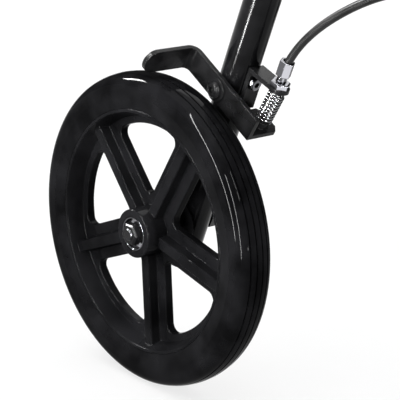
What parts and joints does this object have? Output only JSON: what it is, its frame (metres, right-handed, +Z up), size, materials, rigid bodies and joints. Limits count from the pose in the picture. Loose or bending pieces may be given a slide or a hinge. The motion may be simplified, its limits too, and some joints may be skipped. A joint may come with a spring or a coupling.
{
  "type": "knee scooter",
  "caption": "Steerable knee scooter with a folding column, split knee pad, spoked wheels, solid tyres and sprung cable brakes on the rear wheels.",
  "frame": {"origin": "on the ground, under the centre of the bounding box", "axes": "+X is forward, +Y is the rider's left, +Z is up"},
  "size_m": [0.7532, 0.4196, 0.8938],
  "materials": {
    "powder_coat": "gloss black powder coat",
    "black_steel": "satin black painted steel",
    "wheel_plastic": "black moulded plastic",
    "tyre_rubber": "smooth black rubber",
    "chrome": "bright chrome",
    "bearing_steel": "ground steel",
    "grip_rubber": "soft black grip",
    "pad_vinyl": "black vinyl",
    "cable_black": "black cable housing",
    "black_plastic": "black plastic",
    "aluminium": "brushed aluminium"
  },
  "bodies": {
    "frame": {"rail_right": "powder_coat", "rail_left": "powder_coat", "tube_end_plugs": "black_plastic", "seat_tube": "powder_coat", "head_tube": "powder_coat", "spine": "powder_coat", "cross_tubes": "powder_coat", "rear_axle_bolts": "black_steel", "arm_pivot_bolts": "black_steel", "lock_nuts": "black_steel", "washers": "black_steel", "spring_brackets": "black_steel", "bracket_bolts": "chrome", "adjuster_locknuts": "chrome", "barrel_adjusters": "chrome", "headset_cups": "black_steel", "headset_bearings": "bearing_steel", "seat_clamp": "black_steel", "cables_frame": "cable_black", "cable_clips": "black_plastic"},
    "wheel_rear_right": {"rim_rear_right": "wheel_plastic", "tyre_rear_right": "tyre_rubber", "bearings_rear_right": "bearing_steel"},
    "wheel_rear_left": {"rim_rear_left": "wheel_plastic", "tyre_rear_left": "tyre_rubber", "bearings_rear_left": "bearing_steel"},
    "wheel_front_right": {"rim_front_right": "wheel_plastic", "tyre_front_right": "tyre_rubber", "bearings_front_right": "bearing_steel"},
    "wheel_front_left": {"rim_front_left": "wheel_plastic", "tyre_front_left": "tyre_rubber", "bearings_front_left": "bearing_steel"},
    "brake_arm_right": {"brake_arm_right": "black_steel", "brake_spring_right": "chrome", "inner_wire_right": "bearing_steel"},
    "brake_arm_left": {"brake_arm_left": "black_steel", "brake_spring_left": "chrome", "inner_wire_left": "bearing_steel"},
    "fork": {"fork": "powder_coat", "front_axle_bolts": "black_steel", "fold_bracket": "black_steel", "fold_pin": "black_steel", "cables_steer": "cable_black"},
    "fold_lever": {"fold_lever": "aluminium"},
    "column": {"column": "powder_coat", "column_clamp": "black_steel", "cables_fold": "cable_black"},
    "column_lever": {"column_lever": "aluminium"},
    "stem": {"stem": "powder_coat", "handlebar_clamp": "black_steel", "handlebar": "powder_coat", "grips": "grip_rubber", "lever_housing": "black_plastic", "cables_stem": "cable_black"},
    "brake_lever": {"brake_lever": "black_steel"},
    "parking_button": {"parking_button": "chrome"},
    "seat_lever": {"seat_lever": "aluminium"},
    "knee_rest": {"seat_post": "chrome", "pad_plate": "black_steel", "knee_pads": "pad_vinyl"}
  },
  "joints": [
    {"name": "wheel_rear_right_spin", "type": "hinge", "parent": "frame", "child": "wheel_rear_right", "pos_m": [-0.275, -0.19, 0.1016], "axis": [0, 1, 0], "continuous": true},
    {"name": "wheel_rear_left_spin", "type": "hinge", "parent": "frame", "child": "wheel_rear_left", "pos_m": [-0.275, 0.19, 0.1016], "axis": [0, 1, 0], "continuous": true},
    {"name": "wheel_front_right_spin", "type": "hinge", "parent": "fork", "child": "wheel_front_right", "pos_m": [0.275, -0.088, 0.1016], "axis": [0, 1, 0], "continuous": true},
    {"name": "wheel_front_left_spin", "type": "hinge", "parent": "fork", "child": "wheel_front_left", "pos_m": [0.275, 0.088, 0.1016], "axis": [0, 1, 0], "continuous": true},
    {"name": "steer", "type": "hinge", "parent": "frame", "child": "fork", "pos_m": [0.2357, 0, 0.28647], "axis": [-0.2079, 0, 0.9781], "range_deg": [-45, 45], "deforming": ["cables_steer"]},
    {"name": "column_fold", "type": "hinge", "parent": "fork", "child": "column", "pos_m": [0.21263, 0, 0.39504], "axis": [0, 1, 0], "range_deg": [-55, 0], "deforming": ["cables_fold"]},
    {"name": "stem_height", "type": "slide", "parent": "column", "child": "stem", "axis": [-0.2079, 0, 0.9781], "range_m": [-0.06, 0.09], "deforming": ["cables_stem"]},
    {"name": "knee_rest_height", "type": "slide", "parent": "frame", "child": "knee_rest", "axis": [0, 0, 1], "range_m": [-0.015, 0.09]},
    {"name": "fold_lever_open", "type": "hinge", "parent": "fork", "child": "fold_lever", "pos_m": [0.21263, -0.0313, 0.39504], "axis": [-0.9781, 0, -0.2079], "range_deg": [0, 100]},
    {"name": "column_lever_open", "type": "hinge", "parent": "column", "child": "column_lever", "pos_m": [0.13505, 0.0153, 0.61574], "axis": [-0.9781, 0, -0.2079], "range_deg": [0, 100]},
    {"name": "seat_lever_open", "type": "hinge", "parent": "frame", "child": "seat_lever", "pos_m": [-0.045, -0.0153, 0.313], "axis": [0, 0, -1], "range_deg": [0, 100]},
    {"name": "brake_lever_pull", "type": "hinge", "parent": "stem", "child": "brake_lever", "pos_m": [0.12738, -0.08, 0.87787], "axis": [0.2079, 0, -0.9781], "range_deg": [0, 12], "stiffness_Nm_per_rad": 1, "springref_deg": -11.46},
    {"name": "brake_arm_right_turn", "type": "hinge", "parent": "frame", "child": "brake_arm_right", "pos_m": [-0.23611, -0.17, 0.19643], "axis": [0, -1, 0], "range_deg": [0, 5.8], "deforming": ["brake_spring_right", "inner_wire_right"]},
    {"name": "brake_arm_left_turn", "type": "hinge", "parent": "frame", "child": "brake_arm_left", "pos_m": [-0.23611, 0.17, 0.19643], "axis": [0, -1, 0], "range_deg": [0, 5.8], "deforming": ["brake_spring_left", "inner_wire_left"]},
    {"name": "parking_button_press", "type": "slide", "parent": "stem", "child": "parking_button", "axis": [0.2079, 0, -0.9781], "range_m": [0, 0.003], "stiffness_N_per_m": 150, "springref_m": -0.003}
  ],
  "couplings": [
    {"joint": "brake_arm_right_turn", "follows": "brake_lever_pull", "ratio": 0.48},
    {"joint": "brake_arm_left_turn", "follows": "brake_lever_pull", "ratio": 0.48}
  ]
}
